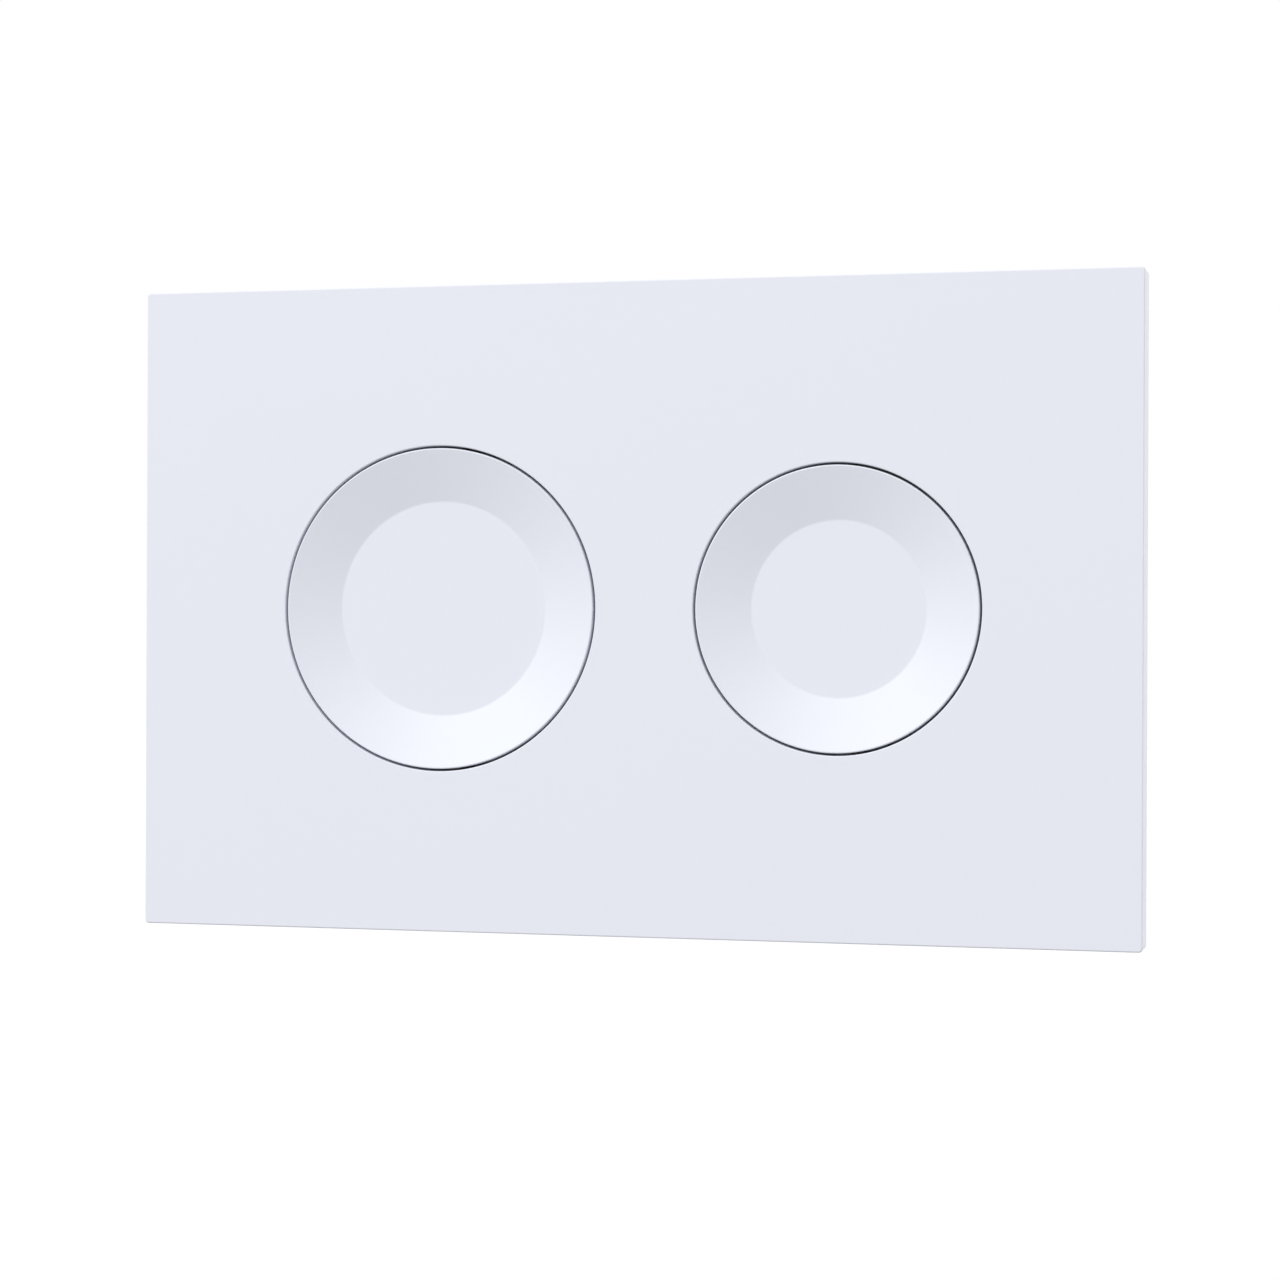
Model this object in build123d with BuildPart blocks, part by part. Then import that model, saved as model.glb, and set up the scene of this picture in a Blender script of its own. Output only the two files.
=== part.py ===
from build123d import *
import math
import os

# Dual flush button plate for a concealed cistern. All sizes are in millimetres.
# X is to the right and Z up for the person in front of it, and Y runs into the wall.
# The wall is the plane Y = 0. Heights are measured out of the wall, so height h lies at Y = -h.

# Cover panel
plate_width = 251.0
plate_height = 160.0
plate_depth = 10.0
plate_wall = 2.4
rim_wall = 2.2
plate_corner_radius = 0.9
plate_edge_bevel = 0.3
side_margin = 37.8
opening_bevel = 0.3
stiffener_height = 2.6
collar_wall = 1.6
rib_thickness = 1.2
rib_columns = 4
rib_rows = 2

# Buttons
full_diameter = 79.4
half_diameter = 69.1
button_gap = 0.6
button_travel = 5.0
dish_depth = 3.7
cone_width = 13.1
rim_bevel = 0.3
cap_wall = 2.0
skirt_wall = 1.8
skirt_length = 6.4

# Snap hooks that hold a plunger's plate behind its cap
cap_hook_width = 8.0
cap_hook_wall = 1.6
cap_hook_catch = 1.0
cap_hook_gap = 0.2
cap_hook_play = 0.1
cap_hook_lip = 0.5
cap_hook_nose = 1.6

# Plungers
plunger_side = 30.0
plunger_plate = 2.0
stem_side = 13.0
stem_corner = 1.8
stem_play = 0.15
stem_tail = 3.2

# Stop washer and clip at the rear end of a guide sleeve
stop_side = 17.0
washer_thickness = 1.5
washer_play = 0.1
washer_fit = 0.1
clip_thickness = 1.2
clip_play = 0.1
clip_bite = 1.3

# Push rods with their lock nuts
rod_diameter = 8.0
rod_shank_diameter = 6.8
rod_thread_length = 32.0
rod_shank_length = 22.0
rod_in_stem = 17.0
rod_end_room = 1.0
thread_play = 0.05
locknut_across_flats = 13.0
locknut_height = 5.0

# Return springs
spring_length = 11.3
spring_turns = 3
spring_chords = 12
spring_wire = 1.0
spring_clearance = 0.6
spring_seat_play = 0.05

# Chassis tray
chassis_wall = 1.8
chassis_seat = 1.5
tray_clearance = 3.6
tray_diagonal_clearance = 1.8
sleeve_wall = 1.85
sleeve_tail = 12.0
gusset_reach = 9.0
gusset_height = 8.0
window_side = 11.5
window_offset = 12.5
window_land = 1.2
partition_height = 6.0
stop_post_side = 4.0
stop_post_play = 0.1

# Screws from the tray into the panel, whose shanks and holes are facetted
screw_inset = 7.0
screw_sides = 12
screw_across_flats = 5.0
screw_head_height = 1.8
screw_diameter = 2.9
screw_length = 6.5
screw_hole_play = 0.25
boss_side = 7.0
pilot_depth = 5.5

# Snap hooks that hold the panel on the frame
hook_x = 72.0
hook_width = 12.0
hook_wall = 1.8
hook_gap = 0.5
hook_catch = 1.3
hook_play = 0.3
hook_lip = 0.6
hook_nose = 3.0

# Mounting frame
frame_recess = 0.8
frame_wall = 3.0
frame_ledge = 2.4
frame_rib = 2.0
frame_channel = 6.0
frame_corner = 6.0
frame_inner_depth = 8.2
frame_outer_depth = 5.2
frame_cross_ribs = 5

# Fixing studs and thumb nuts
stud_front_diameter = 6.0
stud_rear_diameter = 8.0
stud_across_flats = 10.0
stud_collar_height = 2.0
stud_rear_length = 54.0
stud_overrun = 0.6
slot_play = 0.4
slot_length = 14.0
slot_margin = 1.9
thumb_nut_diameter = 16.0
thumb_nut_height = 4.5
thumb_nut_sides = 12

# Heights of the panel and its inner size
wall_back = plate_depth - plate_wall
stiffener_end = wall_back - stiffener_height
inner_width = plate_width - 2 * rim_wall
inner_height = plate_height - 2 * rim_wall

# Slope of a button's dish, whose cone rises to the bevelled rim, level with the panel's face
slope = math.atan(dish_depth / (cone_width - rim_bevel))

# Heights of a button and of the pieces behind it, at rest
dish_front = plate_depth - dish_depth
dish_back = dish_front - cap_wall
skirt_end = plate_depth - skirt_length
plunger_back = dish_back - plunger_plate
floor_front = plunger_back - spring_length
floor_back = floor_front - chassis_wall
sleeve_end = floor_back - sleeve_tail
washer_front = sleeve_end - washer_play
clip_front = washer_front - washer_thickness
clip_back = clip_front - clip_thickness
stem_end = clip_back - stem_tail
rod_front = stem_end + rod_in_stem

# Tray outline, shared by the chassis, the panel's bosses and hooks, and the mounting frame
tray_half_width = plate_width / 2 - side_margin - button_gap + tray_clearance
tray_half_height = full_diameter / 2 + tray_clearance
flange_half_width = tray_half_width + chassis_wall
flange_half_height = tray_half_height + chassis_wall
flange_back = chassis_seat - chassis_wall
screw_x = flange_half_width - screw_inset
screw_z = flange_half_height - screw_inset
screw_points = [(sx * screw_x, sz * screw_z) for sx in (-1, 1) for sz in (-1, 1)]

# Mounting frame outline
hook_inner_z = flange_half_height + hook_gap
open_half_width = flange_half_width + hook_wall + 2 * hook_gap
open_half_height = flange_half_height + hook_wall + 2 * hook_gap
slot_width = stud_front_diameter + 2 * slot_play
stud_x = open_half_width + frame_ledge + frame_rib + slot_margin + slot_width / 2
frame_half_width = stud_x + slot_width / 2 + slot_margin + frame_rib
frame_half_height = open_half_height + frame_ledge + frame_rib + frame_channel + frame_rib
frame_front = -frame_recess
frame_back = frame_front - frame_wall

# Return spring round the stem's cut corners
stem_reach = math.hypot(stem_side / 2, stem_side / 2 - stem_corner)
spring_radius = stem_reach + spring_clearance + spring_wire / 2
sleeve_side = stem_side + 2 * stem_play + 2 * sleeve_wall

# Rows of windows in the tray's floor, above and below a plunger's plate
window_row = plunger_side / 2 + window_land + window_side / 2

quarter_turns = (0, 90, 180, 270)


class Button:
    """Radii and place of one push button, worked out from its diameter."""

    def __init__(self, name, diameter, side):
        self.name = name
        self.radius = diameter / 2
        self.flat = self.radius - cone_width
        self.opening = self.radius + button_gap
        self.collar = self.opening + collar_wall
        self.x = side * (plate_width / 2 - side_margin - self.opening)
        span = tray_half_width - abs(self.x) + tray_half_height
        self.corner_cut = span - math.sqrt(2) * (self.radius + tray_diagonal_clearance)


full = Button("full", full_diameter, -1)
half = Button("half", half_diameter, 1)
buttons = (full, half)
tray_corner = min(button.corner_cut for button in buttons)
flange_corner = tray_corner + chassis_wall * (2 - math.sqrt(2))
partition_x = (full.x + full.radius + half.x - half.radius) / 2


def wall_plane(height):
    """Sketch plane parallel to the wall at a height, seen from the room."""
    return Plane.XZ.offset(height)


def section_plane(x, z=0.0, angle=0.0):
    """Sketch plane through an axis out of the wall: sketch x is the radius, sketch y the height."""
    a = math.radians(angle)
    x_dir = (math.cos(a), 0, math.sin(a))
    z_dir = (math.sin(a), 0, -math.cos(a))
    return Plane(origin=(x, 0, z), x_dir=x_dir, z_dir=z_dir)


def axis_at(x, z=0.0):
    """Axis out of the wall."""
    return Axis((x, 0, z), (0, -1, 0))


def stem_section(play):
    """Square with cut corners: the section of a stem, or of a bore round it with some play."""
    with BuildSketch() as section:
        Rectangle(stem_side + 2 * play, stem_side + 2 * play)
        chamfer(section.vertices(), length=stem_corner)
    return section.sketch


def save(piece, name):
    """Labels a finished piece and writes it to its own file."""
    piece.part.label = name
    export_step(piece.part, f"parts/{name}.step")


def make_front_panel():
    """Moulded cover with two openings, and collars, ribs, bosses and hooks behind its face."""
    with BuildPart() as panel:
        # Solid block with rounded corners, bevelled round its face and its openings
        with BuildSketch(wall_plane(0)):
            Rectangle(plate_width, plate_height)
            for button in buttons:
                with Locations((button.x, 0)):
                    Circle(button.opening, mode=Mode.SUBTRACT)
        extrude(amount=plate_depth)
        uprights = panel.edges().filter_by(Axis.Y).filter_by(GeomType.LINE).group_by(Axis.X)
        fillet(uprights[0] + uprights[-1], plate_corner_radius)
        chamfer(panel.faces().sort_by(Axis.Y)[0].inner_wires().edges(), opening_bevel)
        chamfer(panel.faces().sort_by(Axis.Y)[0].outer_wire().edges(), plate_edge_bevel)

        # Hollow behind the face
        with BuildSketch(wall_plane(0)):
            Rectangle(inner_width, inner_height)
        extrude(amount=wall_back, mode=Mode.SUBTRACT)

        # Ribs and a collar round each opening
        with BuildSketch(wall_plane(stiffener_end)):
            with GridLocations(inner_width / (rib_columns + 1), 1, rib_columns, 1):
                Rectangle(rib_thickness, inner_height)
            with GridLocations(1, inner_height / (rib_rows + 1), 1, rib_rows):
                Rectangle(inner_width, rib_thickness)
            for button in buttons:
                with Locations((button.x, 0)):
                    Circle(button.collar)
                    Circle(button.opening, mode=Mode.SUBTRACT)
        extrude(amount=stiffener_height)

        # Screw bosses with pilot holes
        with BuildSketch(wall_plane(chassis_seat)):
            with Locations(*screw_points):
                Rectangle(boss_side, boss_side)
        extrude(amount=wall_back - chassis_seat)
        with BuildSketch(wall_plane(chassis_seat)):
            with Locations(*screw_points):
                RegularPolygon(screw_diameter / 2 + thread_play, screw_sides, major_radius=False)
        extrude(amount=pilot_depth, mode=Mode.SUBTRACT)

        # Snap hooks that reach through the mounting frame
        root = wall_back + plate_wall / 2
        catch = frame_back - hook_play
        outer = hook_inner_z + hook_wall
        for x in (-hook_x, hook_x):
            for angle in (-90, 90):
                with BuildSketch(section_plane(x, angle=angle)):
                    with BuildLine():
                        Polyline(
                            (hook_inner_z, root),
                            (outer, root),
                            (outer, catch),
                            (outer + hook_catch, catch),
                            (outer + hook_catch, catch - hook_lip),
                            (outer, catch - hook_nose),
                            (hook_inner_z, catch - hook_nose),
                            close=True,
                        )
                    make_face()
                extrude(amount=hook_width / 2, both=True)
    return panel


def make_button_chassis():
    """Eight-sided tray behind the buttons, with a square guide sleeve for each stem."""
    with BuildPart() as chassis:
        # Flange with screw ears at its corners, and the tray behind it
        with BuildSketch(wall_plane(flange_back)):
            Rectangle(2 * flange_half_width, 2 * flange_half_height)
        extrude(amount=chassis_wall)
        with BuildSketch(wall_plane(floor_back)) as outline:
            Rectangle(2 * flange_half_width, 2 * flange_half_height)
            chamfer(outline.vertices(), length=flange_corner)
        extrude(amount=flange_back - floor_back)
        with BuildSketch(wall_plane(floor_front)) as hollow:
            Rectangle(2 * tray_half_width, 2 * tray_half_height)
            chamfer(hollow.vertices(), length=tray_corner)
        extrude(amount=chassis_seat - floor_front, mode=Mode.SUBTRACT)

        # Partition between the buttons
        with BuildSketch(wall_plane(floor_front)):
            with Locations((partition_x, 0)):
                Rectangle(chassis_wall, 2 * tray_half_height)
        extrude(amount=partition_height)

        for button in buttons:
            # Windows in the floor, and posts that stop the skirt at full travel
            with BuildSketch(wall_plane(floor_back)):
                with Locations((button.x, 0)):
                    with GridLocations(2 * window_offset, 2 * window_row, 2, 2):
                        Rectangle(window_side, window_side)
            extrude(amount=chassis_wall, mode=Mode.SUBTRACT)
            with BuildSketch(wall_plane(floor_front)):
                with Locations((button.x, 0)):
                    with PolarLocations(button.radius - skirt_wall / 2, len(quarter_turns)):
                        Rectangle(stop_post_side, stop_post_side)
            extrude(amount=skirt_end - button_travel - stop_post_play - floor_front)

            # Guide sleeve with gussets
            with BuildSketch(wall_plane(sleeve_end)):
                with Locations((button.x, 0)):
                    Rectangle(sleeve_side, sleeve_side)
            extrude(amount=sleeve_tail)
            for angle in quarter_turns:
                with BuildSketch(section_plane(button.x, angle=angle)):
                    with BuildLine():
                        Polyline(
                            (sleeve_side / 2 - sleeve_wall / 2, floor_back),
                            (sleeve_side / 2 + gusset_reach, floor_back),
                            (sleeve_side / 2, floor_back - gusset_height),
                            (sleeve_side / 2 - sleeve_wall / 2, floor_back - gusset_height),
                            close=True,
                        )
                    make_face()
                extrude(amount=rib_thickness / 2, both=True)
            with BuildSketch(wall_plane(sleeve_end)):
                with Locations((button.x, 0)):
                    add(guide_bore)
            extrude(amount=floor_front - sleeve_end, mode=Mode.SUBTRACT)

        # Screw holes in the ears
        with BuildSketch(wall_plane(flange_back)):
            with Locations(*screw_points):
                RegularPolygon(screw_diameter / 2 + screw_hole_play, screw_sides, major_radius=False)
        extrude(amount=chassis_wall, mode=Mode.SUBTRACT)
    return chassis


def make_chassis_screws():
    """Self-tapping screws with hexagon heads on the back of the tray's ears."""
    with BuildPart() as screws:
        with BuildSketch(wall_plane(flange_back)):
            with Locations(*screw_points):
                RegularPolygon(screw_across_flats / 2, 6, major_radius=False)
        extrude(amount=-screw_head_height)
        with BuildSketch(wall_plane(flange_back)):
            with Locations(*screw_points):
                RegularPolygon(screw_diameter / 2, screw_sides)
        extrude(amount=screw_length)
    return screws


def make_mounting_frame():
    """Channel-section frame that lies in the wall opening, slotted for the studs."""
    with BuildPart() as frame:
        with BuildSketch(wall_plane(frame_back)) as flange:
            Rectangle(2 * frame_half_width, 2 * frame_half_height)
            chamfer(flange.vertices(), length=frame_corner)
            Rectangle(2 * open_half_width, 2 * open_half_height, mode=Mode.SUBTRACT)
            with Locations((-stud_x, 0), (stud_x, 0)):
                SlotOverall(slot_length, slot_width, rotation=90, mode=Mode.SUBTRACT)
        extrude(amount=frame_wall)

        # Outer and inner stiffening walls
        with BuildSketch(wall_plane(frame_back)) as outer_wall:
            Rectangle(2 * frame_half_width, 2 * frame_half_height)
            chamfer(outer_wall.vertices(), length=frame_corner)
            offset(amount=-frame_rib, kind=Kind.INTERSECTION, mode=Mode.SUBTRACT)
        extrude(amount=-frame_outer_depth)
        with BuildSketch(wall_plane(frame_back)):
            Rectangle(
                2 * (open_half_width + frame_ledge + frame_rib),
                2 * (open_half_height + frame_ledge + frame_rib),
            )
            Rectangle(
                2 * (open_half_width + frame_ledge),
                2 * (open_half_height + frame_ledge),
                mode=Mode.SUBTRACT,
            )
        extrude(amount=-frame_inner_depth)

        # Cross ribs in the upper and lower channels
        channel_z = frame_half_height - frame_rib - frame_channel / 2
        with BuildSketch(wall_plane(frame_back)):
            with GridLocations(2 * open_half_width / frame_cross_ribs, 2 * channel_z, frame_cross_ribs, 2):
                Rectangle(frame_rib, frame_channel + frame_rib)
        extrude(amount=-frame_outer_depth)
    return frame


def make_fixing_stud(x):
    """Stepped stud: its thin end takes the thumb nut, its hexagon backs the frame."""
    front_length = thumb_nut_height + stud_overrun + frame_wall
    with BuildPart() as stud:
        with BuildSketch(wall_plane(frame_back)):
            with Locations((x, 0)):
                Circle(stud_front_diameter / 2)
        extrude(amount=front_length)
        with BuildSketch(wall_plane(frame_back)):
            with Locations((x, 0)):
                RegularPolygon(stud_across_flats / 2, 6, major_radius=False, rotation=30)
        extrude(amount=-stud_collar_height)
        with BuildSketch(wall_plane(frame_back - stud_collar_height)):
            with Locations((x, 0)):
                Circle(stud_rear_diameter / 2)
        extrude(amount=-stud_rear_length)
    return stud


def make_thumb_nut(x):
    """Many-sided hand nut on the front of the frame."""
    with BuildPart() as nut:
        with BuildSketch(wall_plane(frame_front)):
            with Locations((x, 0)):
                RegularPolygon(thumb_nut_diameter / 2, thumb_nut_sides)
                Circle(stud_front_diameter / 2 + thread_play, mode=Mode.SUBTRACT)
        extrude(amount=thumb_nut_height)
    return nut


def make_return_spring(button):
    """Coil spring round the stem, from the tray's floor to the plunger's plate."""
    start = floor_front + spring_seat_play + spring_wire / 2
    rise = spring_length - spring_wire - 2 * spring_seat_play
    steps = spring_turns * spring_chords
    points = []
    for step in range(steps + 1):
        angle = 2 * math.pi * step / spring_chords
        height = start + rise * step / steps
        across = spring_radius * math.cos(angle)
        points.append((button.x + across, -height, spring_radius * math.sin(angle)))
    with BuildPart() as spring:
        with BuildLine() as coil:
            Polyline(*points)
        with BuildSketch(Plane(origin=coil.line @ 0, z_dir=coil.line % 0)):
            RegularPolygon(spring_wire / 2, 6)
        sweep(transition=Transition.RIGHT)
    return spring


def make_button_cap(button):
    """Dished round cap with a skirt, and four snap hooks for the plunger's plate."""
    skirt_inner = button.radius - skirt_wall
    inner_flat = button.flat + cap_wall * math.tan(slope / 2)
    inner_top = dish_back + (skirt_inner - inner_flat) * math.tan(slope)
    root = dish_back + cap_wall / 2
    catch = plunger_back - cap_hook_play
    hook_inner = plunger_side / 2 + cap_hook_gap
    hook_outer = hook_inner + cap_hook_wall
    hook_tip = plunger_side / 2 - cap_hook_catch
    with BuildPart() as cap:
        with BuildSketch(section_plane(button.x)):
            with BuildLine():
                Polyline(
                    (0, dish_front),
                    (button.flat, dish_front),
                    (button.radius - rim_bevel, plate_depth),
                    (button.radius, plate_depth - rim_bevel),
                    (button.radius, skirt_end),
                    (skirt_inner, skirt_end),
                    (skirt_inner, inner_top),
                    (inner_flat, dish_back),
                    (0, dish_back),
                    close=True,
                )
            make_face()
        revolve(axis=axis_at(button.x))
        for angle in quarter_turns:
            with BuildSketch(section_plane(button.x, angle=angle)):
                with BuildLine():
                    Polyline(
                        (hook_inner, root),
                        (hook_outer, root),
                        (hook_outer, catch - cap_hook_nose),
                        (hook_inner, catch - cap_hook_nose),
                        (hook_tip, catch - cap_hook_lip),
                        (hook_tip, catch),
                        (hook_inner, catch),
                        close=True,
                    )
                make_face()
            extrude(amount=cap_hook_width / 2, both=True)
    return cap


def make_plunger(button):
    """Square plate that snaps behind the cap, on a grooved square stem with a bore for the rod."""
    groove_x = stem_side / 2 - clip_bite / 2
    with BuildPart() as plunger:
        with BuildSketch(wall_plane(plunger_back)):
            with Locations((button.x, 0)):
                Rectangle(plunger_side, plunger_side)
        extrude(amount=plunger_plate)
        with BuildSketch(wall_plane(stem_end)):
            with Locations((button.x, 0)):
                add(stem_outline)
        extrude(amount=plunger_back - stem_end)

        # Bore for the push rod, and a groove on each side for the clip
        with BuildSketch(wall_plane(stem_end)):
            with Locations((button.x, 0)):
                Circle(rod_diameter / 2 + thread_play)
        extrude(amount=rod_in_stem + rod_end_room, mode=Mode.SUBTRACT)
        with BuildSketch(wall_plane(clip_back - clip_play)):
            with Locations((button.x - groove_x, 0), (button.x + groove_x, 0)):
                Rectangle(clip_bite, stem_side)
        extrude(amount=clip_thickness + clip_play, mode=Mode.SUBTRACT)
    return plunger


def make_stop_washer(button):
    """Rubber washer on the stem that lands on the end of the sleeve."""
    with BuildPart() as washer:
        with BuildSketch(wall_plane(clip_front)):
            with Locations((button.x, 0)):
                Rectangle(stop_side, stop_side)
                add(washer_bore, mode=Mode.SUBTRACT)
        extrude(amount=washer_thickness)
    return washer


def make_stop_clip(button):
    """Open clip pushed from above into the stem's two grooves."""
    mouth = stem_side - 2 * clip_bite + 2 * clip_play
    bridge = stem_side / 2 + clip_play
    mouth_height = stop_side / 2 + bridge
    with BuildPart() as clip:
        with BuildSketch(wall_plane(clip_back)):
            with Locations((button.x, 0)):
                Rectangle(stop_side, stop_side)
            with Locations((button.x, bridge - mouth_height / 2)):
                Rectangle(mouth, mouth_height, mode=Mode.SUBTRACT)
        extrude(amount=clip_thickness)
    return clip


def make_push_rod(button):
    """Threaded rod in the stem with a thinner plain end that meets the valve's lever."""
    with BuildPart() as rod:
        with BuildSketch(wall_plane(rod_front)):
            with Locations((button.x, 0)):
                Circle(rod_diameter / 2)
        extrude(amount=-rod_thread_length)
        with BuildSketch(wall_plane(rod_front - rod_thread_length)):
            with Locations((button.x, 0)):
                Circle(rod_shank_diameter / 2)
        extrude(amount=-rod_shank_length)
    return rod


def make_rod_locknut(button):
    """Hexagon nut against the end of the stem."""
    with BuildPart() as nut:
        with BuildSketch(wall_plane(stem_end)):
            with Locations((button.x, 0)):
                RegularPolygon(locknut_across_flats / 2, 6, major_radius=False)
                Circle(rod_diameter / 2 + thread_play, mode=Mode.SUBTRACT)
        extrude(amount=-locknut_height)
    return nut


stem_outline = stem_section(0)
guide_bore = stem_section(stem_play)
washer_bore = stem_section(washer_fit)

os.makedirs("parts", exist_ok=True)
save(make_front_panel(), "front_panel")
save(make_button_chassis(), "button_chassis")
save(make_chassis_screws(), "chassis_screws")
save(make_mounting_frame(), "mounting_frame")
for side, stud_place in (("left", -stud_x), ("right", stud_x)):
    save(make_fixing_stud(stud_place), f"fixing_stud_{side}")
    save(make_thumb_nut(stud_place), f"thumb_nut_{side}")
for button in buttons:
    save(make_return_spring(button), f"{button.name}_return_spring")
    save(make_button_cap(button), f"{button.name}_button_cap")
    save(make_plunger(button), f"{button.name}_plunger")
    save(make_stop_washer(button), f"{button.name}_stop_washer")
    save(make_stop_clip(button), f"{button.name}_stop_clip")
    save(make_push_rod(button), f"{button.name}_push_rod")
    save(make_rod_locknut(button), f"{button.name}_rod_locknut")
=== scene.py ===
"""Looks of a dual flush button plate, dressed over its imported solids.

Pieces are modelled in millimetres and finished in metres, in the part's own frame: X to the right
and Z up for the person in front of the plate, Y into the wall, so that a height h lies at Y = -h.
"""

import logging
import math
from dataclasses import dataclass
from enum import Enum
from typing import Sequence

import bmesh
import bpy
from bmesh.types import BMEdge, BMFace, BMVert
from mathutils import Matrix, Vector


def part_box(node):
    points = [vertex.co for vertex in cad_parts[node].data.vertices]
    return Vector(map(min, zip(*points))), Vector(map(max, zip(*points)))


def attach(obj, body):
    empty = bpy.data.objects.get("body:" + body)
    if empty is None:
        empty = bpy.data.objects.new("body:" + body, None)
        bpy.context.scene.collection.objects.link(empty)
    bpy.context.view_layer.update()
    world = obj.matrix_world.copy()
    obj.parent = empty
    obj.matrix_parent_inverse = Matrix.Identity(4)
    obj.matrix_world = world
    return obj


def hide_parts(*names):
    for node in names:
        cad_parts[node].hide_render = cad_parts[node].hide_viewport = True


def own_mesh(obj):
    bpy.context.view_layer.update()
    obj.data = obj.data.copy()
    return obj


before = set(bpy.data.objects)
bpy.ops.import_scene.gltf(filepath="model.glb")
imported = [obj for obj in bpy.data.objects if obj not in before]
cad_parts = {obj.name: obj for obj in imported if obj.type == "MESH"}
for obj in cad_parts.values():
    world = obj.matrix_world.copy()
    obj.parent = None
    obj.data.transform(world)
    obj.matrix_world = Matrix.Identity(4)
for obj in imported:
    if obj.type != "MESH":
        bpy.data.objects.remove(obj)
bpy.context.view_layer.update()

log = logging.getLogger("flush_plate")

# A millimetre in metres, quarter turns, and the turn that stands a flat shape up along the wall
MM = 0.001
QUARTERS = [math.radians(degrees) for degrees in (0, 90, 180, 270)]
TILT = Matrix.Rotation(math.pi / 2, 4, "X")

# Distances within which points are one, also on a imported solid, lie on a cut, and lie at a height
SAME = 0.0005
SAME_PACKED = 0.002
CUT = 0.00001
LEVEL = 0.0001

# Angles below which neighbours are one face, past which an edge is rounded and past which it looks sharp
FLAT = math.radians(0.6)
SHARP = math.radians(40)
CREASE = math.radians(38)

# Steps of a large turned form and of a small arc
ROUND = 192
ARC = 8

# Sizes that sub-assemblies share: the mounting frame's wall, a screw head across its flats, a thread's play
FRAME_WALL = 3.0
SCREW_FLATS = 5.0
THREAD_PLAY = 0.05

Triple = tuple[float, float, float]
Profile = Sequence[tuple[float, float]]
Span = tuple[float, float]
Socket = bpy.types.NodeSocket


class Slot(Enum):
    """Material slots of the part."""

    PANEL = "panel_white"
    BUTTON = "button_white"
    CHASSIS = "chassis_grey"
    FRAME = "frame_grey"
    ACETAL = "acetal_white"
    ROD = "rod_blue_grey"
    STUD = "stud_grey"
    NUT = "nut_grey"
    RUBBER = "rubber_black"
    ZINC = "zinc_steel"
    CLIP = "clip_steel"
    SPRING = "spring_steel"


class Flush(Enum):
    """The two buttons."""

    FULL = "full"
    HALF = "half"


class Side(Enum):
    """The two ends of the mounting frame."""

    LEFT = "left"
    RIGHT = "right"


@dataclass(frozen=True)
class Extent:
    """Box of a solid at rest, in millimetres.

    Attributes:
        low: Its lowest corner.
        high: Its highest corner.
    """

    low: Vector
    high: Vector

    @classmethod
    def of(cls, node: str) -> "Extent":
        """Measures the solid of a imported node."""
        low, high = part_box(node)
        return cls(low / MM, high / MM)

    @property
    def x(self) -> float:
        """Middle of the box across the plate."""
        return (self.low.x + self.high.x) / 2

    @property
    def width(self) -> float:
        """Length of the box across the plate."""
        return self.high.x - self.low.x

    @property
    def height(self) -> float:
        """Length of the box up the plate."""
        return self.high.z - self.low.z

    @property
    def front(self) -> float:
        """Height of the side that faces the room."""
        return -self.low.y

    @property
    def back(self) -> float:
        """Height of the side that faces the wall."""
        return -self.high.y


class Graph:
    """A node tree that is being wired."""

    def __init__(self, tree: bpy.types.NodeTree) -> None:
        """Takes over the tree of a material, a world or a group, and empties it."""
        self.tree = tree
        self.tree.nodes.clear()

    @classmethod
    def of(cls, owner: bpy.types.Material | bpy.types.World) -> "Graph":
        """Opens the tree of a material or a world."""
        owner.use_nodes = True
        return cls(owner.node_tree)

    def add(self, kind: str, values: dict | None = None, **settings) -> bpy.types.Node:
        """Places a node.

        Args:
            kind: Blender's name of the node.
            values: Values or sockets for the inputs, by input name or index.
            settings: Settings of the node itself.

        Returns:
            The node.
        """
        node = self.tree.nodes.new(kind)
        for name, setting in settings.items():
            setattr(node, name, setting)
        for key, value in (values or {}).items():
            if isinstance(value, Socket):
                self.tree.links.new(value, node.inputs[key])
            else:
                node.inputs[key].default_value = value
        return node

    def math(self, operation: str, *terms: float | Socket) -> Socket:
        """Places a sum, product or other calculation with numbers or sockets."""
        return self.add("ShaderNodeMath", dict(enumerate(terms)), operation=operation).outputs[0]

    def noise(self, vector: Socket, scale: float | Socket, detail: float, **more: float) -> Socket:
        """Places a noise that varies about 0.5."""
        values = {"Vector": vector, "Scale": scale, "Detail": detail, **more}
        return self.add("ShaderNodeTexNoise", values).outputs[0]

    def blend(self, factor: Socket, first: Triple, second: Triple) -> Socket:
        """Blends from a first colour at 0 to a second one at 1."""
        values = {0: factor, 6: (*first, 1.0), 7: (*second, 1.0)}
        return self.add("ShaderNodeMix", values, data_type="RGBA").outputs[2]

    def spread(self, value: Socket, low: float, high: float) -> Socket:
        """Spreads the middle of a noise over a range."""
        values = {"Value": value, "From Min": 0.3, "From Max": 0.7, "To Min": low, "To Max": high}
        return self.add("ShaderNodeMapRange", values).outputs[0]

    def bump(self, height: Socket, distance: float, strength: float = 1.0) -> Socket:
        """Turns a height in a surface to a normal."""
        values = {"Height": height, "Distance": distance, "Strength": strength}
        return self.add("ShaderNodeBump", values).outputs[0]


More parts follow.
